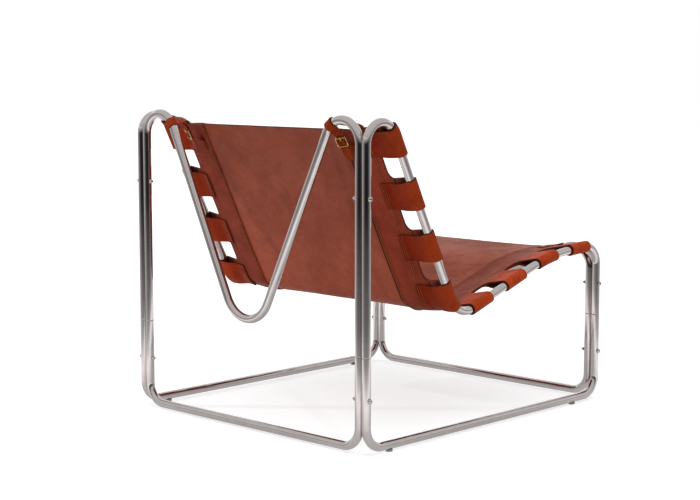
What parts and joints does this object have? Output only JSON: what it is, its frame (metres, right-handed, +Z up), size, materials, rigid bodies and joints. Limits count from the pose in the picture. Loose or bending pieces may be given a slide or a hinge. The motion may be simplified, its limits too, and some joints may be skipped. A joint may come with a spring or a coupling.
{
  "type": "lounge chair",
  "caption": "Low lounge chair: bent chrome tube loops bolted in pairs at the corners, carrying one wrapped leather sling tied with buckled belts.",
  "frame": {"origin": "on the floor under the middle of the chair", "axes": "+Z up, the sitter faces -Y, +X is the sitter's left"},
  "size_m": [0.7842, 0.8696, 0.7341],
  "materials": {
    "chrome_tube": "polished chrome plate",
    "chrome_bolt": "polished chrome plate",
    "spigot_steel": "plain drawn steel",
    "buckle_brass": "aged polished brass",
    "glide_plastic": "matte black",
    "sling_leather": "smooth saddle leather, reddish brown",
    "belt_leather": "smooth saddle leather, cognac"
  },
  "bodies": {
    "chair": {"rear_frame_base": "chrome_tube", "rear_frame_upper": "chrome_tube", "rear_frame_spigot_a": "spigot_steel", "rear_frame_spigot_b": "spigot_steel", "front_frame_base": "chrome_tube", "front_frame_upper": "chrome_tube", "front_frame_spigot_a": "spigot_steel", "front_frame_spigot_b": "spigot_steel", "right_frame_base": "chrome_tube", "right_frame_upper": "chrome_tube", "right_frame_spigot_a": "spigot_steel", "right_frame_spigot_b": "spigot_steel", "left_frame_base": "chrome_tube", "left_frame_upper": "chrome_tube", "left_frame_spigot_a": "spigot_steel", "left_frame_spigot_b": "spigot_steel", "bolt_rear_right_lower": "chrome_bolt", "bolt_rear_right_upper": "chrome_bolt", "bolt_front_right_lower": "chrome_bolt", "bolt_front_right_upper": "chrome_bolt", "bolt_rear_left_lower": "chrome_bolt", "bolt_rear_left_upper": "chrome_bolt", "bolt_front_left_lower": "chrome_bolt", "bolt_front_left_upper": "chrome_bolt", "cap_nut_rear_right_lower": "chrome_bolt", "cap_nut_rear_right_upper": "chrome_bolt", "cap_nut_front_right_lower": "chrome_bolt", "cap_nut_front_right_upper": "chrome_bolt", "cap_nut_rear_left_lower": "chrome_bolt", "cap_nut_rear_left_upper": "chrome_bolt", "cap_nut_front_left_lower": "chrome_bolt", "cap_nut_front_left_upper": "chrome_bolt", "glide_rear_right": "glide_plastic", "glide_front_right": "glide_plastic", "glide_rear_left": "glide_plastic", "glide_front_left": "glide_plastic", "sling": "sling_leather", "sling_band_right": "sling_leather", "sling_band_left": "sling_leather", "belt_rear_right": "belt_leather", "belt_rear_left": "belt_leather", "belt_front_right": "belt_leather", "belt_front_left": "belt_leather", "chape_rear_right": "belt_leather", "chape_rear_left": "belt_leather", "chape_front_right": "belt_leather", "chape_front_left": "belt_leather", "buckle_rear_right": "buckle_brass", "buckle_rear_left": "buckle_brass", "buckle_front_right": "buckle_brass", "buckle_front_left": "buckle_brass"},
    "rear_right_pin": {"prong_rear_right": "buckle_brass"},
    "rear_left_pin": {"prong_rear_left": "buckle_brass"},
    "front_right_pin": {"prong_front_right": "buckle_brass"},
    "front_left_pin": {"prong_front_left": "buckle_brass"}
  },
  "joints": [
    {"name": "prong_rear_right_hinge", "type": "hinge", "parent": "chair", "child": "rear_right_pin", "pos_m": [-0.2578, 0.37326, 0.67365], "axis": [-0.9453, -0.2784, 0.1698], "range_deg": [0, 35]},
    {"name": "prong_rear_left_hinge", "type": "hinge", "parent": "chair", "child": "rear_left_pin", "pos_m": [0.2578, 0.37326, 0.67365], "axis": [-0.9453, 0.2784, -0.1698], "range_deg": [0, 35]},
    {"name": "prong_front_right_hinge", "type": "hinge", "parent": "chair", "child": "front_right_pin", "pos_m": [-0.2638, -0.36731, 0.34648], "axis": [0.9998, -0.0011, -0.0209], "range_deg": [0, 35]},
    {"name": "prong_front_left_hinge", "type": "hinge", "parent": "chair", "child": "front_left_pin", "pos_m": [0.2638, -0.36731, 0.34648], "axis": [0.9998, 0.0011, 0.0209], "range_deg": [0, 35]}
  ]
}
